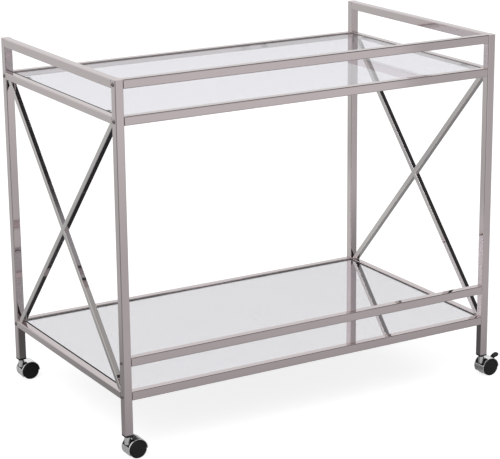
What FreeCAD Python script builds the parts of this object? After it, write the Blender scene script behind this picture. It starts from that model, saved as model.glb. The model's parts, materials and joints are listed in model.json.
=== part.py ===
"""Two-shelf bar cart on four twin-wheel casters.

Millimetres, +Z up. X runs along the cart, -Y is the front (gallery) side, and the floor is Z = 0.
The origin is on the floor under the middle of the whole footprint. The casters all trail towards +X,
so the frame's own middle lies a little to the -X side of the origin (FRAME_MIDDLE_X).
"""
import FreeCAD, Part

import math
import os

# ---- driving dimensions: frame ----
FRAME_LENGTH = 940.0         # over the posts, along X
FRAME_DEPTH = 567.0          # over the posts, along Y
HANDLE_TOP = 804.0           # top of posts, end handles and front gallery
UPPER_SHELF_TOP = 729.0      # of its long rails
LOWER_GALLERY_TOP = 220.5
LOWER_SHELF_TOP = 146.0      # of its long rails
SIDE_RAIL_DROP = 1.0         # from the long rails' tops down to the side rails' tops
POST_BOTTOM = 52.0
FRAME_MIDDLE_X = -18.0

MAIN_TUBE = 19.0             # posts, handles and long rails
MAIN_WALL = 1.2
MAIN_CORNER = 2.2
SIDE_TUBE = 16.0             # shelf rails at the two ends
SIDE_WALL = 1.2
SIDE_CORNER = 1.9
BRACE_TUBE = 12.0            # crossed braces
BRACE_WALL = 1.0
BRACE_CORNER = 1.2
POST_CAP = 2.0               # welded plate that closes a post's top
RAIL_SETBACK = 0.3           # slit between a long rail and the posts
RAIL_END_ROUND = 0.8
LEAST_BORE_CORNER = 0.4
TOLERANCE = 0.01
BRACE_FIT_STEPS = 6

# ---- driving dimensions: shelves ----
PANE_SINK = 2.2              # from the long rails' tops down to a pane's top
GLASS_GAP = 0.8              # from the pane to the posts and the long rails
GLASS_THICKNESS = 5.0
MIRROR_GLASS = 4.0
MIRROR_SILVERING = 1.0
MIRROR_BOND = 0.05           # clear film between the glass and its backing
PANE_CORNER = 2.0
PANE_BEVEL = 0.5
PAD_RADIUS = 5.0
PAD_THICKNESS = 1.5
PAD_INSET = 0.5              # from a tab's free edge
TAB_THICKNESS = 2.0
TAB_WIDTH = 20.0
TAB_REACH = 15.0
TAB_STATION = 200.0          # from the middle of the depth

# ---- driving dimensions: bolted joints ----
BOLT_RADIUS = 3.0
BOLT_HOLE_RADIUS = 3.2
BOLT_HEAD_RADIUS = 5.0
BOLT_HEAD_HEIGHT = 2.4
BOLT_HEAD_RIM = 0.4
BOLT_REACH = 14.0            # thread engaged in the rail's end nut
HEX_KEY = 4.0
HEX_DEPTH = 1.4
NUT_LENGTH = 16.0
NUT_BOSS_RADIUS = 6.0

# ---- driving dimensions: casters, measured from the stem's axis ----
WHEEL_RADIUS = 20.0
WHEEL_INNER_FACE = 7.4
WHEEL_OUTER_FACE = 17.6
WHEEL_RIM_BORE = 16.5
WHEEL_DISC = 4.0
WHEEL_INNER_CHAMFER = 0.6
WHEEL_SHOULDER = 1.4         # tread to outer face, with a break at WHEEL_SHOULDER_BREAK
WHEEL_SHOULDER_BREAK = 0.4
WHEEL_GROOVE = 0.5
WHEEL_GROOVE_RADIUS = 17.0
HUB_RADIUS = 5.5
HUB_INNER_FACE = 7.2
TRAIL = 16.0                 # from the stem to the axle
AXLE_RADIUS = 2.5
AXLE_HALF_LENGTH = 15.3
AXLE_END_CLEARANCE = 0.3
RUNNING_CLEARANCE = 0.05
HOOD_INNER_RADIUS = 21.2
HOOD_OUTER_RADIUS = 22.4
HOOD_HALF_WIDTH = 17.0
HOOD_START = -3.0            # degrees round the axle, from +X towards +Z
HOOD_END = 212.0
NECK_SLOT = (110.0, 163.0)
NECK_SLOT_HALF_WIDTH = 14.6
NECK_RADIUS = 7.0
NECK_BOTTOM = 30.0
NECK_TOP = 46.5
NECK_BEVEL = 0.8
NECK_WEB_HALF_WIDTH = 4.0
NECK_WEB_BOTTOM = 35.0
NECK_WEB_TOP = (39.1, 40.6)  # at the stem's axis and over the axle, just inside the hood
HOOD_CUT_MARGIN = 4.0        # how far the slots' cutters overshoot the hood's shell
CORE_HALF_WIDTH = 6.8
CORE_CLEARANCE = 4.5
STEM_RADIUS = 4.0
STEM_TIP = 32.6
STEM_SOCKET_BOTTOM = 32.3
STEM_TOP = 76.0
STEM_COLLAR_RADIUS = 5.6
STEM_COLLAR = 1.4
STEM_CHAMFER = 1.0
CAP_THICKNESS = 3.4          # flange of the plastic insert under a post
INSERT_DEPTH = 26.0

# ---- driving dimensions: brake lever, measured from the stem's axis ----
LEVER_PIVOT = (25.5, 31.5)
LEVER_PIN_RADIUS = 1.5
LEVER_EYE_RADIUS = 3.5
LEVER_ARM_HALF_WIDTH = 4.9
LEVER_ARM_HEIGHT = 5.2
LEVER_ARM_LENGTH = 13.0
LEVER_ARM_ANGLE = 38.7
PEDAL_LENGTH = 14.6
PEDAL_WIDTH = 15.0
PEDAL_THICKNESS = 2.8
PEDAL_ANGLE = 25.0
PEDAL_START = (34.4, 37.2)
PEDAL_CORNER = 5.5
POCKET_HALF_WIDTH = 5.3
POCKET_INNER_RADIUS = 9.0
POCKET_SPAN = (8.0, 84.0)
LEVER_SLOT = (28.0, 60.0)

# ---- places worked out from them ----
POST_X = FRAME_LENGTH / 2 - MAIN_TUBE / 2
POST_Y = FRAME_DEPTH / 2 - MAIN_TUBE / 2
BETWEEN_POSTS_X = FRAME_LENGTH / 2 - MAIN_TUBE
BETWEEN_POSTS_Y = FRAME_DEPTH / 2 - MAIN_TUBE
SIDE_RAIL_X = FRAME_LENGTH / 2 - SIDE_TUBE / 2
ENDS = {"left": -1, "right": 1}
SIDES = {"front": -1, "rear": 1}

# name: (which side, height of the rail's top face)
LONG_RAILS = {
    "front_handle_rail": ("front", HANDLE_TOP),
    "upper_front_rail": ("front", UPPER_SHELF_TOP),
    "upper_rear_rail": ("rear", UPPER_SHELF_TOP),
    "lower_gallery_rail": ("front", LOWER_GALLERY_TOP),
    "lower_front_rail": ("front", LOWER_SHELF_TOP),
    "lower_rear_rail": ("rear", LOWER_SHELF_TOP),
}
BRAKED_END = "right"

X_AXIS = FreeCAD.Vector(1, 0, 0)
Y_AXIS = FreeCAD.Vector(0, 1, 0)
Z_AXIS = FreeCAD.Vector(0, 0, 1)
ZERO = FreeCAD.Vector(0, 0, 0)


def vec(x, y, z):
    return FreeCAD.Vector(x, y, z)


# ---- general shapes ----
def rounded_square(size, corner):
    """A square face with rounded corners, centred on the origin in the XY plane."""
    return rounded_rectangle(size, size, corner)


def rounded_rectangle(width, depth, corner):
    edges = []
    centres = [(1, 1), (-1, 1), (-1, -1), (1, -1)]
    arcs = []
    for quarter, (sx, sy) in enumerate(centres):
        middle = vec(sx * (width / 2 - corner), sy * (depth / 2 - corner), 0)
        points = []
        for step in (0, 45, 90):
            angle = math.radians(90 * quarter + step)
            points.append(middle + vec(math.cos(angle), math.sin(angle), 0) * corner)
        arcs.append(points)
    for number, points in enumerate(arcs):
        edges.append(Part.Arc(*points).toShape())
        following = arcs[(number + 1) % len(arcs)]
        edges.append(Part.LineSegment(points[-1], following[0]).toShape())
    return Part.Face(Part.Wire(edges))


def bar(size, corner, length):
    """A solid square bar along +Z from the origin."""
    return rounded_square(size, corner).extrude(Z_AXIS * length)


def tube(size, wall, corner, length):
    """A hollow square tube along +Z from the origin."""
    hollow = bar(size - 2 * wall, max(corner - wall, LEAST_BORE_CORNER), length)
    return bar(size, corner, length).cut(hollow)


def lay_along(shape, axis, start):
    """Turn a shape that runs along +Z so that it runs along axis, and put its foot at start."""
    placed = shape.copy()
    if axis == "x":
        placed.rotate(ZERO, Y_AXIS, 90)
    if axis == "y":
        placed.rotate(ZERO, X_AXIS, -90)
    placed.translate(start)
    return placed


def cylinder(radius, length, start, direction):
    return Part.makeCylinder(radius, length, start, direction)


def turned(profile, axis_point, axis):
    """Revolve a closed (radius, distance along the axis) outline about an axis along Y or Z."""
    if axis == "y":
        points = [vec(radius, along, 0) for radius, along in profile]
        direction = Y_AXIS
    else:
        points = [vec(radius, 0, along) for radius, along in profile]
        direction = Z_AXIS
    face = Part.Face(Part.makePolygon(points + points[:1]))
    solid = face.revolve(ZERO, direction, 360)
    solid.translate(axis_point)
    return solid


def sector_plate(inner, outer, start_angle, end_angle, half_width, centre):
    """Part of a ring about the Y direction; angles run from +X towards +Z, in degrees."""
    def at(radius, angle):
        turn = math.radians(angle)
        return centre + vec(radius * math.cos(turn), -half_width, radius * math.sin(turn))

    middle_angle = (start_angle + end_angle) / 2
    outer_arc = Part.Arc(at(outer, start_angle), at(outer, middle_angle), at(outer, end_angle))
    inner_arc = Part.Arc(at(inner, end_angle), at(inner, middle_angle), at(inner, start_angle))
    edges = [
        outer_arc.toShape(),
        Part.LineSegment(at(outer, end_angle), at(inner, end_angle)).toShape(),
        inner_arc.toShape(),
        Part.LineSegment(at(inner, start_angle), at(outer, start_angle)).toShape(),
    ]
    return Part.Face(Part.Wire(edges)).extrude(Y_AXIS * (2 * half_width))


def plate_xz(points, half_width):
    """Extrude a closed (x, z) outline by half_width to both sides of the XZ plane."""
    corners = [vec(x, -half_width, z) for x, z in points]
    face = Part.Face(Part.makePolygon(corners + corners[:1]))
    return face.extrude(Y_AXIS * (2 * half_width))


# ---- frame ----
def rail_height(name):
    return LONG_RAILS[name][1] - MAIN_TUBE / 2


def rails_on(side):
    return [name for name, (where, _) in LONG_RAILS.items() if where == side]


def post(end, side):
    """Square post, closed on top, cross-drilled along X for the bolt of each long rail."""
    middle = vec(ENDS[end] * POST_X, SIDES[side] * POST_Y, 0)
    height = HANDLE_TOP - POST_BOTTOM
    shape = tube(MAIN_TUBE, MAIN_WALL, MAIN_CORNER, height - POST_CAP)
    cap = bar(MAIN_TUBE, MAIN_CORNER, POST_CAP)
    cap.translate(Z_AXIS * (height - POST_CAP))
    shape = shape.fuse(cap).removeSplitter()
    shape.translate(middle + Z_AXIS * POST_BOTTOM)
    for name in rails_on(side):
        start = middle + vec(-MAIN_TUBE, 0, rail_height(name))
        shape = shape.cut(cylinder(BOLT_HOLE_RADIUS, 2 * MAIN_TUBE, start, X_AXIS))
    return shape


def end_handle(end):
    """Push handle between the tops of the two posts of an end."""
    start = vec(ENDS[end] * POST_X, -BETWEEN_POSTS_Y, HANDLE_TOP - MAIN_TUBE / 2)
    return lay_along(tube(MAIN_TUBE, MAIN_WALL, MAIN_CORNER, 2 * BETWEEN_POSTS_Y), "y", start)


def side_rail(end, shelf_top):
    """Thinner shelf rail of an end frame, flush with the posts' outer faces."""
    height = shelf_top - SIDE_RAIL_DROP - SIDE_TUBE / 2
    start = vec(ENDS[end] * SIDE_RAIL_X, -BETWEEN_POSTS_Y, height)
    return lay_along(tube(SIDE_TUBE, SIDE_WALL, SIDE_CORNER, 2 * BETWEEN_POSTS_Y), "y", start)


def long_rail(name):
    """Long rail between the posts; its tube stops just short of them at both ends."""
    side = LONG_RAILS[name][0]
    start = vec(-BETWEEN_POSTS_X + RAIL_SETBACK, SIDES[side] * POST_Y, rail_height(name))
    length = 2 * (BETWEEN_POSTS_X - RAIL_SETBACK)
    shape = tube(MAIN_TUBE, MAIN_WALL, MAIN_CORNER, length)
    outer_rims = [edge for edge in shape.Edges if is_outer_rim(edge, MAIN_TUBE)]
    return lay_along(shape.makeFillet(RAIL_END_ROUND, outer_rims), "x", start)


def is_outer_rim(edge, size):
    """Whether an edge lies in an end face of an upright tube, on its outside."""
    box = edge.BoundBox
    farthest = max(abs(box.XMin), abs(box.XMax), abs(box.YMin), abs(box.YMax))
    return box.ZLength < TOLERANCE and farthest > size / 2 - TOLERANCE


def brace_bar(end, rising_to_rear, hollow):
    """One diagonal of an end's cross, cut level where it stands on the two shelf rails."""
    low = LOWER_SHELF_TOP - SIDE_RAIL_DROP
    high = UPPER_SHELF_TOP - SIDE_RAIL_DROP - SIDE_TUBE
    rise = high - low
    # the diagonal's outer edge starts in the corner, so its centre line is half a bar inside
    inset = BRACE_TUBE / 2
    for _ in range(BRACE_FIT_STEPS):
        run = 2 * (BETWEEN_POSTS_Y - inset)
        inset = BRACE_TUBE / 2 * math.hypot(run, rise) / rise
    length = math.hypot(run, rise) + 4 * BRACE_TUBE
    shape = bar(BRACE_TUBE, BRACE_CORNER, length)
    if hollow:
        shape = tube(BRACE_TUBE, BRACE_WALL, BRACE_CORNER, length)
    shape.translate(Z_AXIS * (-length / 2))
    lean = math.degrees(math.atan2(run, rise))
    shape.rotate(ZERO, X_AXIS, -lean if rising_to_rear else lean)
    shape.translate(vec(ENDS[end] * POST_X, 0, (low + high) / 2))
    slab = Part.makeBox(3 * BRACE_TUBE, FRAME_DEPTH, rise,
                        vec(ENDS[end] * POST_X - 1.5 * BRACE_TUBE, -FRAME_DEPTH / 2, low))
    return shape.common(slab)


def braces(end):
    """The through diagonal and the two halves welded to it, as (through, upper half, lower half)."""
    through_rises_to_rear = end == "right"
    through = brace_bar(end, through_rises_to_rear, True)
    blocker = brace_bar(end, through_rises_to_rear, False)
    halves = brace_bar(end, not through_rises_to_rear, True).cut(blocker).Solids
    halves.sort(key=lambda solid: solid.CenterOfMass.z)
    return through, halves[-1], halves[0]


# ---- bolts and nuts of the long rails ----
def button_head():
    """Domed screw head that stands on the XY plane with its crown up."""
    rise = BOLT_HEAD_HEIGHT - BOLT_HEAD_RIM
    dome = (BOLT_HEAD_RADIUS ** 2 + rise ** 2) / (2 * rise)
    halfway = math.asin(BOLT_HEAD_RADIUS / dome) / 2
    dome_centre = vec(0, 0, BOLT_HEAD_HEIGHT - dome)
    foot = vec(BOLT_HEAD_RADIUS, 0, 0)
    rim = vec(BOLT_HEAD_RADIUS, 0, BOLT_HEAD_RIM)
    shoulder = dome_centre + vec(math.sin(halfway), 0, math.cos(halfway)) * dome
    crown = vec(0, 0, BOLT_HEAD_HEIGHT)
    edges = [
        Part.LineSegment(ZERO, foot).toShape(),
        Part.LineSegment(foot, rim).toShape(),
        Part.Arc(rim, shoulder, crown).toShape(),
        Part.LineSegment(crown, ZERO).toShape(),
    ]
    return Part.Face(Part.Wire(edges)).revolve(ZERO, Z_AXIS, 360)


def rail_bolt(end, name):
    """Button-head screw through a post into a rail's end nut."""
    outward = ENDS[end]
    side = LONG_RAILS[name][0]
    length = MAIN_TUBE + BOLT_REACH
    shank = cylinder(BOLT_RADIUS, length, Z_AXIS * -length, Z_AXIS)
    corners = []
    for step in range(6):
        turn = math.radians(60 * step)
        corners.append(vec(math.cos(turn), math.sin(turn), 0) * (HEX_KEY / math.sqrt(3)))
    socket = Part.Face(Part.makePolygon(corners + corners[:1])).extrude(Z_AXIS * BOLT_HEAD_HEIGHT)
    socket.translate(Z_AXIS * (BOLT_HEAD_HEIGHT - HEX_DEPTH))
    shape = button_head().fuse(shank).cut(socket)
    shape.rotate(ZERO, Y_AXIS, 90 * outward)
    shape.translate(vec(outward * FRAME_LENGTH / 2, SIDES[side] * POST_Y, rail_height(name)))
    return shape


def rail_nut(end, name):
    """Threaded block pressed into a rail's end; its round boss stands against the post."""
    outward = ENDS[end]
    side = LONG_RAILS[name][0]
    face_x = outward * (BETWEEN_POSTS_X - RAIL_SETBACK)
    middle = vec(face_x, SIDES[side] * POST_Y, rail_height(name))
    inner = MAIN_TUBE - 2 * MAIN_WALL
    block = bar(inner, MAIN_CORNER - MAIN_WALL, NUT_LENGTH)
    start = middle if outward < 0 else middle - X_AXIS * NUT_LENGTH
    block = lay_along(block, "x", start)
    boss = cylinder(NUT_BOSS_RADIUS, RAIL_SETBACK, middle, X_AXIS * outward)
    thread = cylinder(BOLT_RADIUS, 3 * NUT_LENGTH, middle - X_AXIS * (1.5 * NUT_LENGTH), X_AXIS)
    return block.fuse(boss).cut(thread)


# ---- shelves ----
def pane(top, thickness):
    """A pane with small corner radii and polished arrises; its corners clear the posts."""
    width = 2 * (BETWEEN_POSTS_X - GLASS_GAP)
    depth = 2 * (BETWEEN_POSTS_Y - GLASS_GAP)
    shape = rounded_rectangle(width, depth, PANE_CORNER).extrude(Z_AXIS * thickness)
    rims = [edge for edge in shape.Edges if edge.BoundBox.ZLength < TOLERANCE]
    shape = shape.makeChamfer(PANE_BEVEL, rims)
    shape.translate(Z_AXIS * (top - thickness))
    return shape


def silvering(top):
    """Silvered and painted back of the lower pane, set in from its bevel."""
    width = 2 * (BETWEEN_POSTS_X - GLASS_GAP - PANE_BEVEL)
    depth = 2 * (BETWEEN_POSTS_Y - GLASS_GAP - PANE_BEVEL)
    shape = rounded_rectangle(width, depth, PANE_CORNER).extrude(Z_AXIS * MIRROR_SILVERING)
    shape.translate(Z_AXIS * (top - MIRROR_SILVERING))
    return shape


def support_places():
    """(end, y) of the four supports of a shelf."""
    return [(end, side * TAB_STATION) for end in ENDS for side in (-1, 1)]


def support_tab(end, y, pane_bottom):
    """Steel tab welded to the inside of a shelf's end rail, under the pane."""
    inner_face = FRAME_LENGTH / 2 - SIDE_TUBE
    x = min(ENDS[end] * inner_face, ENDS[end] * (inner_face - TAB_REACH))
    z = pane_bottom - PAD_THICKNESS - TAB_THICKNESS
    return Part.makeBox(TAB_REACH, TAB_WIDTH, TAB_THICKNESS, vec(x, y - TAB_WIDTH / 2, z))


def support_pad(end, y, pane_bottom):
    """Clear cushion between a tab and the pane."""
    x = ENDS[end] * (FRAME_LENGTH / 2 - SIDE_TUBE - TAB_REACH + PAD_RADIUS + PAD_INSET)
    return cylinder(PAD_RADIUS, PAD_THICKNESS, vec(x, y, pane_bottom - PAD_THICKNESS), Z_AXIS)


# ---- casters: parts that stay with the frame ----
def post_insert(end, side):
    """Plastic plug in a post's foot, with a flange under the post and a hole for the stem."""
    middle = vec(ENDS[end] * POST_X, SIDES[side] * POST_Y, POST_BOTTOM - CAP_THICKNESS)
    flange = bar(MAIN_TUBE, MAIN_CORNER, CAP_THICKNESS)
    plug = bar(MAIN_TUBE - 2 * MAIN_WALL, MAIN_CORNER - MAIN_WALL, CAP_THICKNESS + INSERT_DEPTH)
    hole = cylinder(STEM_RADIUS, 2 * INSERT_DEPTH, Z_AXIS * -CAP_THICKNESS, Z_AXIS)
    shape = flange.fuse(plug).cut(hole)
    shape.translate(middle)
    return shape


def caster_stem(end, side):
    """Steel stem held in the insert; the caster turns on its lower half."""
    flange_bottom = POST_BOTTOM - CAP_THICKNESS
    return turned(
        [
            (0, STEM_TIP),
            (STEM_RADIUS - STEM_CHAMFER, STEM_TIP),
            (STEM_RADIUS, STEM_TIP + STEM_CHAMFER),
            (STEM_RADIUS, flange_bottom - STEM_COLLAR),
            (STEM_COLLAR_RADIUS, flange_bottom - STEM_COLLAR),
            (STEM_COLLAR_RADIUS, flange_bottom),
            (STEM_RADIUS, flange_bottom),
            (STEM_RADIUS, STEM_TOP - STEM_CHAMFER),
            (STEM_RADIUS - STEM_CHAMFER, STEM_TOP),
            (0, STEM_TOP),
        ],
        vec(ENDS[end] * POST_X, SIDES[side] * POST_Y, 0),
        "z",
    )


# ---- casters: turning parts, built round the stem's axis and trailing towards +X ----
AXLE_CENTRE = vec(TRAIL, 0, WHEEL_RADIUS)


def caster_neck():
    """Round neck round the stem, without its bore."""
    return turned(
        [
            (0, NECK_BOTTOM),
            (NECK_RADIUS, NECK_BOTTOM),
            (NECK_RADIUS, NECK_TOP - NECK_BEVEL),
            (NECK_RADIUS - NECK_BEVEL, NECK_TOP),
            (0, NECK_TOP),
        ],
        ZERO,
        "z",
    )


def neck_web():
    """Web that ties the neck to the crown of the hood."""
    low = NECK_WEB_BOTTOM
    at_stem, over_axle = NECK_WEB_TOP
    return plate_xz([(0, low), (TRAIL, low), (TRAIL, over_axle), (0, at_stem)], NECK_WEB_HALF_WIDTH)


def caster_hood(braked):
    """Plated fender over both wheels, cast in one with the neck that turns on the stem."""
    shell = sector_plate(HOOD_INNER_RADIUS, HOOD_OUTER_RADIUS, HOOD_START, HOOD_END,
                         HOOD_HALF_WIDTH, AXLE_CENTRE)
    inside = HOOD_INNER_RADIUS - HOOD_CUT_MARGIN
    outside = HOOD_OUTER_RADIUS + HOOD_CUT_MARGIN
    shell = shell.cut(sector_plate(inside, outside, *NECK_SLOT, NECK_SLOT_HALF_WIDTH, AXLE_CENTRE))
    if braked:
        shell = shell.cut(sector_plate(inside, outside, *LEVER_SLOT, POCKET_HALF_WIDTH, AXLE_CENTRE))
    shape = shell.fuse(caster_neck()).fuse(neck_web())
    socket = cylinder(STEM_RADIUS + RUNNING_CLEARANCE, NECK_TOP, Z_AXIS * STEM_SOCKET_BOTTOM, Z_AXIS)
    return shape.cut(socket).removeSplitter()


def caster_core(braked):
    """Plastic block between the wheels that holds the axle and, on a braked caster, the lever."""
    disc = cylinder(HOOD_INNER_RADIUS, 2 * CORE_HALF_WIDTH,
                    AXLE_CENTRE - Y_AXIS * CORE_HALF_WIDTH, Y_AXIS)
    reach = 2 * HOOD_OUTER_RADIUS
    floor_cut = Part.makeBox(2 * reach, reach, reach,
                             vec(-reach + TRAIL, -reach / 2, CORE_CLEARANCE - reach))
    shape = disc.cut(floor_cut)
    shape = shape.cut(caster_neck()).cut(neck_web())
    axle_start = AXLE_CENTRE - Y_AXIS * WHEEL_RADIUS
    shape = shape.cut(cylinder(AXLE_RADIUS, 2 * WHEEL_RADIUS, axle_start, Y_AXIS))
    if braked:
        pocket = sector_plate(POCKET_INNER_RADIUS, reach, *POCKET_SPAN, POCKET_HALF_WIDTH, AXLE_CENTRE)
        pin_start = vec(LEVER_PIVOT[0], -WHEEL_RADIUS, LEVER_PIVOT[1])
        pin_hole = cylinder(LEVER_PIN_RADIUS, 2 * WHEEL_RADIUS, pin_start, Y_AXIS)
        shape = shape.cut(pocket).cut(pin_hole)
    solids = sorted(shape.Solids, key=lambda solid: solid.Volume)
    return solids[-1]


def caster_axle():
    return cylinder(AXLE_RADIUS, 2 * AXLE_HALF_LENGTH,
                    AXLE_CENTRE - Y_AXIS * AXLE_HALF_LENGTH, Y_AXIS)


def caster_wheel(toward):
    """Cup-shaped wheel with a closed outer disc; toward is -1 for the front wheel of the pair."""
    bore = AXLE_RADIUS + RUNNING_CLEARANCE
    bore_end = AXLE_HALF_LENGTH + AXLE_END_CLEARANCE
    disc_back = WHEEL_OUTER_FACE - WHEEL_DISC
    profile = [
        (0, bore_end),
        (bore, bore_end),
        (bore, HUB_INNER_FACE),
        (HUB_RADIUS, HUB_INNER_FACE),
        (HUB_RADIUS, disc_back),
        (WHEEL_RIM_BORE, disc_back),
        (WHEEL_RIM_BORE, WHEEL_INNER_FACE),
        (WHEEL_RADIUS - WHEEL_INNER_CHAMFER, WHEEL_INNER_FACE),
        (WHEEL_RADIUS, WHEEL_INNER_FACE + WHEEL_INNER_CHAMFER),
        (WHEEL_RADIUS, WHEEL_OUTER_FACE - WHEEL_SHOULDER),
        (WHEEL_RADIUS - WHEEL_SHOULDER_BREAK, WHEEL_OUTER_FACE - WHEEL_SHOULDER_BREAK),
        (WHEEL_RADIUS - WHEEL_SHOULDER, WHEEL_OUTER_FACE),
        (WHEEL_GROOVE_RADIUS + WHEEL_GROOVE, WHEEL_OUTER_FACE),
        (WHEEL_GROOVE_RADIUS, WHEEL_OUTER_FACE - WHEEL_GROOVE),
        (WHEEL_GROOVE_RADIUS - WHEEL_GROOVE, WHEEL_OUTER_FACE),
        (0, WHEEL_OUTER_FACE),
    ]
    points = [(radius, toward * along) for radius, along in profile]
    return turned(points, AXLE_CENTRE, "y")


def brake_lever():
    """Pedal with an arm that hangs on the lever pin in the core's pocket."""
    arm = Part.makeBox(LEVER_ARM_LENGTH, 2 * LEVER_ARM_HALF_WIDTH, LEVER_ARM_HEIGHT,
                       vec(0, -LEVER_ARM_HALF_WIDTH, -LEVER_ARM_HEIGHT / 2))
    arm.rotate(ZERO, Y_AXIS, -LEVER_ARM_ANGLE)
    pivot = vec(LEVER_PIVOT[0], 0, LEVER_PIVOT[1])
    arm.translate(pivot)
    eye = cylinder(LEVER_EYE_RADIUS, 2 * LEVER_ARM_HALF_WIDTH,
                   pivot - Y_AXIS * LEVER_ARM_HALF_WIDTH, Y_AXIS)
    pedal = rounded_rectangle(PEDAL_LENGTH, PEDAL_WIDTH, PEDAL_CORNER).extrude(Z_AXIS * PEDAL_THICKNESS)
    pedal.translate(X_AXIS * (PEDAL_LENGTH / 2))
    pedal.rotate(ZERO, Y_AXIS, -PEDAL_ANGLE)
    pedal.translate(vec(PEDAL_START[0], 0, PEDAL_START[1]))
    pin_space = cylinder(LEVER_PIN_RADIUS + RUNNING_CLEARANCE, 2 * PEDAL_WIDTH,
                         pivot - Y_AXIS * PEDAL_WIDTH, Y_AXIS)
    return eye.fuse(arm).fuse(pedal).cut(pin_space).removeSplitter()


def lever_pin():
    start = vec(LEVER_PIVOT[0], -CORE_HALF_WIDTH, LEVER_PIVOT[1])
    return cylinder(LEVER_PIN_RADIUS, 2 * CORE_HALF_WIDTH, start, Y_AXIS)


# ---- the whole cart, node by node ----
def frame_nodes():
    nodes = {}
    for end in ENDS:
        for side in SIDES:
            nodes[f"{side}_{end}_post"] = post(end, side)
        nodes[f"{end}_end_handle"] = end_handle(end)
        nodes[f"{end}_upper_side_rail"] = side_rail(end, UPPER_SHELF_TOP)
        nodes[f"{end}_lower_side_rail"] = side_rail(end, LOWER_SHELF_TOP)
        through, upper, lower = braces(end)
        nodes[f"{end}_through_brace"] = through
        nodes[f"{end}_upper_half_brace"] = upper
        nodes[f"{end}_lower_half_brace"] = lower
    for name in LONG_RAILS:
        nodes[name] = long_rail(name)
    joints = [(end, name) for end in ENDS for name in LONG_RAILS]
    nodes["rail_bolts"] = Part.makeCompound([rail_bolt(*joint) for joint in joints])
    nodes["rail_end_nuts"] = Part.makeCompound([rail_nut(*joint) for joint in joints])
    return nodes


def shelf_nodes():
    glass_top = UPPER_SHELF_TOP - PANE_SINK
    mirror_top = LOWER_SHELF_TOP - PANE_SINK
    backing_top = mirror_top - MIRROR_GLASS - MIRROR_BOND
    nodes = {
        "upper_glass_shelf": pane(glass_top, GLASS_THICKNESS),
        "lower_mirror_glass": pane(mirror_top, MIRROR_GLASS),
        "lower_mirror_backing": silvering(backing_top),
    }
    pane_bottoms = {
        "upper": glass_top - GLASS_THICKNESS,
        "lower": backing_top - MIRROR_SILVERING,
    }
    for shelf, bottom in pane_bottoms.items():
        tabs = [support_tab(end, y, bottom) for end, y in support_places()]
        pads = [support_pad(end, y, bottom) for end, y in support_places()]
        nodes[f"{shelf}_shelf_tabs"] = Part.makeCompound(tabs)
        nodes[f"{shelf}_shelf_pads"] = Part.makeCompound(pads)
    return nodes


def caster_nodes():
    nodes = {}
    corners = [(end, side) for end in ENDS for side in SIDES]
    nodes["post_inserts"] = Part.makeCompound([post_insert(*corner) for corner in corners])
    for end, side in corners:
        braked = end == BRAKED_END
        name = f"{side}_{end}"
        nodes[f"{name}_caster_stem"] = caster_stem(end, side)
        turning = {
            "caster_hood": caster_hood(braked),
            "caster_core": caster_core(braked),
            "caster_axle": caster_axle(),
            "outer_wheel": caster_wheel(SIDES[side]),
            "inner_wheel": caster_wheel(-SIDES[side]),
        }
        if braked:
            turning["brake_lever"] = brake_lever()
            turning["brake_pin"] = lever_pin()
        for piece, shape in turning.items():
            shape.translate(vec(ENDS[end] * POST_X, SIDES[side] * POST_Y, 0))
            nodes[f"{name}_{piece}"] = shape
    return nodes


def main():
    os.makedirs("parts", exist_ok=True)
    nodes = {**frame_nodes(), **shelf_nodes(), **caster_nodes()}
    for name, shape in nodes.items():
        shape.translate(X_AXIS * FRAME_MIDDLE_X)
        if not shape.isValid():
            print("not valid:", name)
        shape.exportStep(f"parts/{name}.step")
    whole = Part.makeCompound(list(nodes.values())).BoundBox
    print(len(nodes), "nodes; X", round(whole.XMin, 2), round(whole.XMax, 2),
          "Y", round(whole.YMin, 2), round(whole.YMax, 2), "Z", round(whole.ZMin, 2), round(whole.ZMax, 2))


main()
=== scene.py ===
import json

import bpy
from mathutils import Matrix, Vector


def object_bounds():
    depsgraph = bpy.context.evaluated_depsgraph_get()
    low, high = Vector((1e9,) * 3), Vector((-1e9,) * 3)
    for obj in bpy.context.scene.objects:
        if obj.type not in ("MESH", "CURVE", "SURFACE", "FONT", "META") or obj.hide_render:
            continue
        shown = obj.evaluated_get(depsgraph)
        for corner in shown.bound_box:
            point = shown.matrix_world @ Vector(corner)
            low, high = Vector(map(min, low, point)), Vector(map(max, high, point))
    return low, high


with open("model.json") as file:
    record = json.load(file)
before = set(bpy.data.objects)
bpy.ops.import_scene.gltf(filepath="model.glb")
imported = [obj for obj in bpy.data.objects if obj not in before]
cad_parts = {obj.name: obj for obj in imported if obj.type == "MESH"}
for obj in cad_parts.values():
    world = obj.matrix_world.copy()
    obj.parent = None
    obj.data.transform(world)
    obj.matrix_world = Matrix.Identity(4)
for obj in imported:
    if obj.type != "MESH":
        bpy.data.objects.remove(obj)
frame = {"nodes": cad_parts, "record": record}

CAD_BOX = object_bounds()
NODES = frame["nodes"]
SLOT_OF_NODE = {part["node"]: part["material_slot"] for part in frame["record"]["subparts"]}

# ---- camera: metres, in the cart's frame ----
CAMERA_PLACE = Vector((-2.0596, -3.4970, 1.5319))
CAMERA_FORWARD = Vector((0.4916, 0.8259, -0.2759))
CAMERA_UP = Vector((0.1478, 0.2331, 0.9611))
CAMERA_LENS = 132.9
CAMERA_SENSOR = 36.0
CAMERA_SHIFT = (-0.0299, -0.0107)
CAMERA_CLIP = 200.0

# ---- lamps: watts and metres ----
SOFTBOX_AIM = Vector((0.0, 0.0, 0.4))
SOFTBOX_SIZE = 2.6
# name: (place, power)
SOFTBOXES = {
    "key_softbox": (Vector((-2.6, -2.2, 3.6)), 60.0),
    "fill_softbox": (Vector((2.8, -0.6, 3.2)), 40.0),
}

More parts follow.
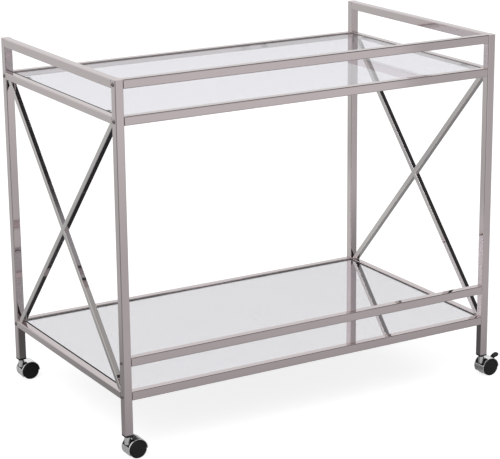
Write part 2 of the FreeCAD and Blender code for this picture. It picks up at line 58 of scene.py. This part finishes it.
# ---- the room as polished metal reflects it ----
# A pair is where an edge starts and ends. Here it is in parts of a direction of length 1.
WALL_LIGHT = 0.824
DIRECT_LIGHT = 1.0           # of the backdrop where the camera sees it
CEILING_LIGHT = 0.04         # unlit part of the ceiling, on the right
CEILING_EDGE_Z = (0.42, 0.58)
CEILING_EDGE_X = (0.05, 0.30)
CEILING_BACK_Y = (0.45, 0.70)        # the unlit part ends here towards the back
CEILING_FRONT = (0.030, 0.055)       # and here towards the front, as y + x
FRONT_WALL_LIGHT = 0.448     # wall on the right behind the camera
FRONT_WALL_EDGE_Y = (-0.25, 0.25)
FRONT_WALL_EDGE_X = (0.05, 0.35)

# ---- the floor as polished metal reflects it: an emission with painted light and shade ----
# Here an edge is in metres from the middle of the cart.
FLOOR_HALF_SIZE = 40.0
NEAR_FLOOR_LIGHT = 0.30      # painted shade: the floor's light under the middle of the cart's depth
NEAR_FLOOR_GAIN = 0.25       # painted light added by the time the floor is NEAR_FLOOR_REACH in front or behind
NEAR_FLOOR_REACH = 0.9
FAR_FLOOR_REACH = (1.2, 3.1)
FRONT_FLOOR_GAIN = 0.16      # painted light added over FAR_FLOOR_REACH in front, left of the painted shade line
REAR_FLOOR_GAIN = 0.09       # and behind
SHADE_LINE_SLOPE = 0.713     # the front floor has painted shade where x + slope * y is above zero
SHADE_LINE_EDGE = 0.10
PAINTED_GLARE_GAIN = 0.14            # painted glare: a brighter patch painted on the floor behind the cart, towards the right
PAINTED_GLARE_X = (-0.60, -0.20)
PAINTED_GLARE_Y = (0.40, 0.80)
FRONT_FLOOR_TINT = (1.0, 0.99, 1.0)
REAR_FLOOR_TINT = (0.985, 1.012, 1.0)
PAINTED_CART_SHADOW_LIGHT = 0.35      # painted shadow: share of the floor's light that is left under the cart
PAINTED_CART_SHADOW_END = (-0.10, 0.04)       # how far beyond the cart's ends the painted shadow's edge starts and ends
PAINTED_CART_SHADOW_SIDE = (-0.08, 0.04)      # and beyond its front and back
PAINTED_CORNER_SHADE_LIGHT = 0.45     # painted shade: share of the floor's light that is left in front on the left, where the photographer stands
PAINTED_CORNER_SHADE_X = (0.55, 0.85)
PAINTED_CORNER_SHADE_Y = (0.35, 0.65)

# ---- the floor as the camera sees it ----
PAPER_GLOW = 0.82
PAPER_WHITE = 0.40

# ---- finishes: two linear shades that a noise mixes, and the roughness at its two ends ----
NICKEL = ((0.655, 0.582, 0.586), (0.692, 0.618, 0.622))
BRACE_NICKEL = ((0.650, 0.610, 0.600), (0.685, 0.645, 0.635))
BOLT_NICKEL = ((0.24, 0.215, 0.215), (0.32, 0.285, 0.285))
CHROME = ((0.93, 0.925, 0.92), (0.97, 0.965, 0.96))
ZINC = ((0.40, 0.40, 0.41), (0.58, 0.57, 0.56))
CLEAR_GLASS = ((0.778, 0.772, 0.826), (0.788, 0.782, 0.836))
MIRROR_GLASS = ((0.980, 0.974, 0.996), (0.986, 0.980, 1.0))
SILVER = ((0.975, 0.975, 0.975), (0.995, 0.995, 0.995))
SEALING_PAINT = ((0.10, 0.10, 0.105), (0.14, 0.14, 0.145))
WHEEL_BLACK = ((0.006, 0.0055, 0.0057), (0.011, 0.010, 0.0103))
PLASTIC_BLACK = ((0.004, 0.0038, 0.0038), (0.009, 0.0085, 0.0085))
SILICONE = ((0.80, 0.82, 0.83), (0.90, 0.91, 0.92))
POLISHED = (0.02, 0.06)
HALF_BRIGHT = (0.08, 0.16)
SATIN_CHROME = (0.22, 0.32)
TURNED = (0.22, 0.40)
WIPED_GLASS = (0.0, 0.012)
WHEEL_GLOSS = (0.32, 0.46)
PLASTIC_GLOSS = (0.42, 0.58)
SILICONE_HAZE = (0.18, 0.30)

# ---- scales of the noises: how many blotches there are to a metre ----
TINT_CLOUDS = 9.0
SMEARS = 55.0
RIPPLES = 30.0
ZINC_BLOTCHES = 260.0
TURNING_LINES = (60.0, 60.0, 3200.0)
GLASS_CLOUDS = 2.5
GROUND_GRAIN = 1500.0
WIPE_STROKES = (3.0, 14.0, 3.0)
WIPES = 2.0
PAINT_GRAIN = 900.0
SILVER_CLOUDS = 3.0
SPARK_GRAIN = 2600.0
PLASTIC_WEAR = 120.0
SILICONE_CLOUDS = 700.0

# ---- spans of those noises that show, and heights of the bumps in metres ----
SMEAR_SPAN = (0.35, 0.75)
WIPE_SPAN = (0.45, 0.80)
MIDDLE_SPAN = (0.3, 0.7)
RIPPLE_HEIGHT = 0.00002
TURNING_HEIGHT = 0.00003
WHEEL_GRAIN_HEIGHT = 0.00001
PLASTIC_GRAIN_HEIGHT = 0.00002

# ---- other properties of the materials ----
GLASS_IOR = 1.5
SILICONE_IOR = 1.41
SILICONE_CLEARNESS = 0.85
PLASTIC_SPECULAR = 0.35
PANE_FACE_NORMAL = 0.9       # a pane's faces have a steeper normal than this, its edges a flatter one
CLEAR_EDGE_SHADE = 0.06      # of the ground edges
MIRROR_EDGE_SHADE = 0.015
EDGE_TINT = (1.3, 1.4, 1.35)         # the lighter of an edge's two shades, as parts of the darker
EDGE_ROUGHNESS = 0.5
SILVER_SIDE_NORMAL = 0.5     # the silvering faces up where its normal is steeper than this
PAINT_ROUGHNESS = 0.55


class Graph:
    """Short way to write a material's or world's nodes."""

    def __init__(self, tree):
        self.tree = tree
        tree.nodes.clear()

    def node(self, kind, **settings):
        made = self.tree.nodes.new(kind)
        for name, value in settings.items():
            setattr(made, name, value)
        return made

    def link(self, source, target):
        self.tree.links.new(source, target)

    def set(self, socket, value):
        """A socket from the graph is linked; anything else is set on the socket itself."""
        if isinstance(value, bpy.types.NodeSocket):
            self.link(value, socket)
        else:
            socket.default_value = value

    def parts(self, vector):
        made = self.node("ShaderNodeSeparateXYZ")
        self.link(vector, made.inputs[0])
        return [made.outputs[axis] for axis in "XYZ"]

    def math(self, operation, first, second=0.0):
        made = self.node("ShaderNodeMath", operation=operation)
        self.set(made.inputs[0], first)
        self.set(made.inputs[1], second)
        return made.outputs[0]

    def product(self, first, *others):
        for other in others:
            first = self.math("MULTIPLY", first, other)
        return first

    def smooth_range(self, value, low, high, to_low=0.0, to_high=1.0):
        made = self.node("ShaderNodeMapRange", interpolation_type="SMOOTHSTEP")
        for name, setting in (("Value", value), ("From Min", low), ("From Max", high),
                              ("To Min", to_low), ("To Max", to_high)):
            self.set(made.inputs[name], setting)
        return made.outputs["Result"]

    def mix_value(self, factor, first, second):
        made = self.node("ShaderNodeMix", data_type="FLOAT")
        for name, setting in (("Factor", factor), ("A", first), ("B", second)):
            self.set(made.inputs[name], setting)
        return made.outputs["Result"]

    def mix_color(self, factor, first, second):
        made = self.node("ShaderNodeMix", data_type="RGBA")
        for name, setting in (("Factor", factor), ("A", first), ("B", second)):
            self.set(made.inputs[name], setting)
        return made.outputs["Result"]

    def shade(self, factor, shades):
        return self.mix_color(factor, rgba(*shades[0]), rgba(*shades[1]))

    def noise(self, place, scale, detail=3.0):
        made = self.node("ShaderNodeTexNoise")
        self.link(place, made.inputs["Vector"])
        made.inputs["Scale"].default_value = scale
        made.inputs["Detail"].default_value = detail
        return made.outputs["Fac"]

    def stretched(self, place, scale):
        made = self.node("ShaderNodeMapping")
        self.link(place, made.inputs["Vector"])
        made.inputs["Scale"].default_value = scale
        return made.outputs["Vector"]

    def bump(self, height, distance):
        made = self.node("ShaderNodeBump")
        made.inputs["Strength"].default_value = 1.0
        made.inputs["Distance"].default_value = distance
        self.link(height, made.inputs["Height"])
        return made.outputs["Normal"]

    def emission(self, strength, color):
        made = self.node("ShaderNodeEmission")
        self.set(made.inputs["Strength"], strength)
        self.set(made.inputs["Color"], color)
        return made.outputs[0]

    def mix_shader(self, factor, first, second):
        made = self.node("ShaderNodeMixShader")
        self.set(made.inputs[0], factor)
        self.link(first, made.inputs[1])
        self.link(second, made.inputs[2])
        return made.outputs[0]

    def surface(self, shader):
        made = self.node("ShaderNodeOutputMaterial")
        self.link(shader, made.inputs["Surface"])


def rgba(red, green, blue):
    return (red, green, blue, 1.0)


WHITE = rgba(1.0, 1.0, 1.0)


# ---- studio ----
def seen_directly(graph):
    """1 for what the camera sees, also through glass; 0 for what is lit by or reflected from it."""
    path = graph.node("ShaderNodeLightPath")
    bounces = graph.math("ADD", path.outputs["Glossy Depth"], path.outputs["Diffuse Depth"])
    return graph.math("LESS_THAN", bounces, 0.5)


def add_world():
    world = bpy.data.worlds.new("studio")
    bpy.context.scene.world = world
    world.use_nodes = True
    graph = Graph(world.node_tree)
    x, y, z = graph.parts(graph.node("ShaderNodeTexCoord").outputs["Generated"])
    front = graph.product(graph.smooth_range(y, *FRONT_WALL_EDGE_Y, 1.0, 0.0),
                          graph.smooth_range(x, *FRONT_WALL_EDGE_X))
    ceiling = graph.product(graph.smooth_range(z, *CEILING_EDGE_Z),
                            graph.smooth_range(x, *CEILING_EDGE_X),
                            graph.smooth_range(y, *CEILING_BACK_Y, 1.0, 0.0),
                            graph.smooth_range(graph.math("ADD", y, x), *CEILING_FRONT))
    walls = graph.mix_value(front, WALL_LIGHT, FRONT_WALL_LIGHT)
    reflected = graph.mix_value(ceiling, walls, CEILING_LIGHT)
    background = graph.node("ShaderNodeBackground")
    background.inputs["Color"].default_value = WHITE
    graph.link(graph.mix_value(seen_directly(graph), reflected, DIRECT_LIGHT),
               background.inputs["Strength"])
    output = graph.node("ShaderNodeOutputWorld")
    graph.link(background.outputs[0], output.inputs["Surface"])


def reflected_floor(graph):
    """The floor in reflections, as an emission with painted light and shade: painted shade near and
    under the cart and round the camera, and a painted glare behind the cart.
    """
    x, y, _ = graph.parts(graph.node("ShaderNodeNewGeometry").outputs["Position"])
    left = graph.math("MULTIPLY", x, -1.0)
    front = graph.math("MULTIPLY", y, -1.0)
    out_x = graph.math("ABSOLUTE", x)
    out_y = graph.math("ABSOLUTE", y)

    near = graph.smooth_range(out_y, 0.0, NEAR_FLOOR_REACH,
                              NEAR_FLOOR_LIGHT, NEAR_FLOOR_LIGHT + NEAR_FLOOR_GAIN)
    beyond_line = graph.math("ADD", x, graph.math("MULTIPLY", y, SHADE_LINE_SLOPE))
    front_gain = graph.smooth_range(beyond_line, -SHADE_LINE_EDGE, SHADE_LINE_EDGE,
                                    FRONT_FLOOR_GAIN, 0.0)
    in_front = graph.math("GREATER_THAN", front, 0.0)
    gain = graph.mix_value(in_front, REAR_FLOOR_GAIN, front_gain)
    far = graph.product(gain, graph.smooth_range(out_y, *FAR_FLOOR_REACH))
    # painted glare: a brighter patch painted on the reflected floor behind the cart
    painted_glare = graph.product(graph.smooth_range(x, *PAINTED_GLARE_X, 0.0, PAINTED_GLARE_GAIN),
                          graph.smooth_range(y, *PAINTED_GLARE_Y))
    painted_floor_light = graph.math("ADD", graph.math("ADD", near, far), painted_glare)

    # painted shadow: the reflected floor is painted darker under the cart, where the cart would shade
    # it
    half_length, half_depth = CAD_BOX[1][0], CAD_BOX[1][1]
    beside = graph.smooth_range(out_x, *(half_length + edge for edge in PAINTED_CART_SHADOW_END))
    before = graph.smooth_range(out_y, *(half_depth + edge for edge in PAINTED_CART_SHADOW_SIDE))
    clear = graph.math("MAXIMUM", beside, before)
    painted_cart_shadow = graph.smooth_range(clear, 0.0, 1.0, PAINTED_CART_SHADOW_LIGHT, 1.0)
    # painted shade on the reflected floor in front on the left, where the photographer stands
    corner = graph.product(graph.smooth_range(left, *PAINTED_CORNER_SHADE_X),
                           graph.smooth_range(front, *PAINTED_CORNER_SHADE_Y))
    painted_corner_shade = graph.smooth_range(corner, 0.0, 1.0, 1.0, PAINTED_CORNER_SHADE_LIGHT)
    tint = graph.shade(in_front, (REAR_FLOOR_TINT, FRONT_FLOOR_TINT))
    return graph.emission(graph.product(painted_floor_light, painted_cart_shadow, painted_corner_shade), tint)


def add_floor():
    mesh = bpy.data.meshes.new("studio_floor")
    reach = FLOOR_HALF_SIZE
    corners = [(-reach, -reach, 0), (reach, -reach, 0), (reach, reach, 0), (-reach, reach, 0)]
    mesh.from_pydata(corners, [], [(0, 1, 2, 3)])
    floor = bpy.data.objects.new("studio_floor", mesh)
    bpy.context.scene.collection.objects.link(floor)
    material = bpy.data.materials.new("studio_floor")
    material.use_nodes = True
    graph = Graph(material.node_tree)
    pale = graph.node("ShaderNodeBsdfDiffuse")
    pale.inputs["Color"].default_value = rgba(PAPER_WHITE, PAPER_WHITE, PAPER_WHITE)
    glow = graph.emission(PAPER_GLOW, WHITE)
    paper = graph.node("ShaderNodeAddShader")
    graph.link(pale.outputs[0], paper.inputs[0])
    graph.link(glow, paper.inputs[1])
    graph.surface(graph.mix_shader(seen_directly(graph), reflected_floor(graph), paper.outputs[0]))
    mesh.materials.append(material)


def add_softbox(name, place, power):
    lamp = bpy.data.lights.new(name, "AREA")
    lamp.shape = "DISK"
    lamp.size = SOFTBOX_SIZE
    lamp.energy = power
    softbox = bpy.data.objects.new(name, lamp)
    bpy.context.scene.collection.objects.link(softbox)
    softbox.location = place
    softbox.rotation_euler = (SOFTBOX_AIM - place).to_track_quat("-Z", "Y").to_euler()
    softbox.visible_glossy = False


def add_camera():
    lens = bpy.data.cameras.new("camera")
    lens.sensor_fit = "HORIZONTAL"
    lens.sensor_width = CAMERA_SENSOR
    lens.lens = CAMERA_LENS
    lens.shift_x, lens.shift_y = CAMERA_SHIFT
    lens.clip_end = CAMERA_CLIP
    camera = bpy.data.objects.new("camera", lens)
    bpy.context.scene.collection.objects.link(camera)
    back = -CAMERA_FORWARD.normalized()
    right = CAMERA_UP.cross(back).normalized()
    up = back.cross(right)
    turn = Matrix((right, up, back)).transposed()
    camera.matrix_world = Matrix.Translation(CAMERA_PLACE) @ turn.to_4x4()
    bpy.context.scene.camera = camera


# ---- materials ----
def new_material(name):
    material = bpy.data.materials.new(name)
    material.use_nodes = True
    graph = Graph(material.node_tree)
    shader = graph.node("ShaderNodeBsdfPrincipled")
    graph.surface(shader.outputs[0])
    place = graph.node("ShaderNodeTexCoord").outputs["Object"]
    return material, graph, shader, place


def height_of_normal(graph):
    """The Z part of the surface's normal: 1 where it faces up."""
    return graph.parts(graph.node("ShaderNodeNewGeometry").outputs["Normal"])[2]


def polished_metal(name, shades, gloss):
    """Plated metal: faint cloudiness in its tint and gloss, and a ripple too slight to see as one."""
    material, graph, shader, place = new_material(name)
    graph.set(shader.inputs["Base Color"], graph.shade(graph.noise(place, TINT_CLOUDS), shades))
    shader.inputs["Metallic"].default_value = 1.0
    smear = graph.noise(place, SMEARS, detail=5.0)
    graph.set(shader.inputs["Roughness"], graph.smooth_range(smear, *SMEAR_SPAN, *gloss))
    ripple = graph.noise(place, RIPPLES, detail=1.0)
    graph.link(graph.bump(ripple, RIPPLE_HEIGHT), shader.inputs["Normal"])
    return material


def turned_steel(name):
    """Zinc-plated turned steel: fine lines round each piece and a blotchy dull gloss."""
    material, graph, shader, place = new_material(name)
    blotch = graph.noise(place, ZINC_BLOTCHES, detail=4.0)
    graph.set(shader.inputs["Base Color"], graph.shade(blotch, ZINC))
    shader.inputs["Metallic"].default_value = 1.0
    lines = graph.noise(graph.stretched(place, TURNING_LINES), 1.0, detail=2.0)
    graph.set(shader.inputs["Roughness"], graph.smooth_range(lines, *MIDDLE_SPAN, *TURNED))
    graph.link(graph.bump(lines, TURNING_HEIGHT), shader.inputs["Normal"])
    return material


def glass(name, shades, edge_shade):
    """Float glass with a trace of tint, dark ground edges, and less gloss where it has been wiped."""
    material, graph, shader, place = new_material(name)
    steepness = graph.math("ABSOLUTE", height_of_normal(graph))
    on_edge = graph.math("LESS_THAN", steepness, PANE_FACE_NORMAL)
    face = graph.shade(graph.noise(place, GLASS_CLOUDS), shades)
    edge_shades = [(edge_shade, edge_shade, edge_shade), [part * edge_shade for part in EDGE_TINT]]
    ground = graph.shade(graph.noise(place, GROUND_GRAIN), edge_shades)
    graph.set(shader.inputs["Base Color"], graph.mix_color(on_edge, face, ground))
    # the edge counts as metal so that no light passes through it
    graph.link(on_edge, shader.inputs["Metallic"])
    shader.inputs["Transmission Weight"].default_value = 1.0
    shader.inputs["IOR"].default_value = GLASS_IOR
    wipe = graph.noise(graph.stretched(place, WIPE_STROKES), WIPES, detail=4.0)
    face_roughness = graph.smooth_range(wipe, *WIPE_SPAN, *WIPED_GLASS)
    edge_roughness = graph.math("MULTIPLY", on_edge, EDGE_ROUGHNESS)
    graph.set(shader.inputs["Roughness"], graph.math("MAXIMUM", face_roughness, edge_roughness))
    return material


def silvering(name):
    """Silver where it faces the glass, grey sealing paint on its back and edges."""
    material, graph, shader, place = new_material(name)
    silver_side = graph.math("GREATER_THAN", height_of_normal(graph), SILVER_SIDE_NORMAL)
    silver = graph.shade(graph.noise(place, SILVER_CLOUDS), SILVER)
    paint = graph.shade(graph.noise(place, PAINT_GRAIN), SEALING_PAINT)
    graph.set(shader.inputs["Base Color"], graph.mix_color(silver_side, paint, silver))
    graph.link(silver_side, shader.inputs["Metallic"])
    graph.set(shader.inputs["Roughness"],
              graph.smooth_range(silver_side, 0.0, 1.0, PAINT_ROUGHNESS, 0.0))
    return material


def moulded_plastic(name, shades, gloss, grain_height):
    """Black moulded plastic with a fine spark-eroded grain."""
    material, graph, shader, place = new_material(name)
    shader.inputs["Specular IOR Level"].default_value = PLASTIC_SPECULAR
    wear = graph.noise(place, PLASTIC_WEAR, detail=4.0)
    graph.set(shader.inputs["Base Color"], graph.shade(wear, shades))
    graph.set(shader.inputs["Roughness"], graph.smooth_range(wear, *MIDDLE_SPAN, *gloss))
    grain = graph.noise(place, SPARK_GRAIN, detail=2.0)
    graph.link(graph.bump(grain, grain_height), shader.inputs["Normal"])
    return material


def clear_silicone(name):
    """Soft clear silicone with a slight haze."""
    material, graph, shader, place = new_material(name)
    haze = graph.noise(place, SILICONE_CLOUDS)
    graph.set(shader.inputs["Base Color"], graph.shade(haze, SILICONE))
    shader.inputs["Transmission Weight"].default_value = SILICONE_CLEARNESS
    shader.inputs["IOR"].default_value = SILICONE_IOR
    graph.set(shader.inputs["Roughness"], graph.smooth_range(haze, *MIDDLE_SPAN, *SILICONE_HAZE))
    return material


# one material for each of the record's slots, and one more for the braces: how it is made and with what
FINISHES = {
    "frame_nickel": (polished_metal, NICKEL, POLISHED),
    "brace_nickel": (polished_metal, BRACE_NICKEL, POLISHED),
    "bolt_nickel": (polished_metal, BOLT_NICKEL, HALF_BRIGHT),
    "caster_chrome": (polished_metal, CHROME, SATIN_CHROME),
    "zinc_steel": (turned_steel,),
    "clear_glass": (glass, CLEAR_GLASS, CLEAR_EDGE_SHADE),
    "mirror_glass": (glass, MIRROR_GLASS, MIRROR_EDGE_SHADE),
    "mirror_silver": (silvering,),
    "wheel_plastic": (moulded_plastic, WHEEL_BLACK, WHEEL_GLOSS, WHEEL_GRAIN_HEIGHT),
    "black_plastic": (moulded_plastic, PLASTIC_BLACK, PLASTIC_GLOSS, PLASTIC_GRAIN_HEIGHT),
    "clear_pad": (clear_silicone,),
}


def make_materials():
    return {name: make(name, *settings) for name, (make, *settings) in FINISHES.items()}


def dress_nodes(materials):
    for name, node in NODES.items():
        look = "brace_nickel" if name.endswith("_brace") else SLOT_OF_NODE[name]
        node.data.materials.clear()
        node.data.materials.append(materials[look])


add_world()
add_floor()
for softbox_name, (softbox_place, softbox_power) in SOFTBOXES.items():
    add_softbox(softbox_name, softbox_place, softbox_power)
add_camera()
dress_nodes(make_materials())

view = bpy.context.scene.view_settings
view.view_transform = "Standard"
view.look = "None"
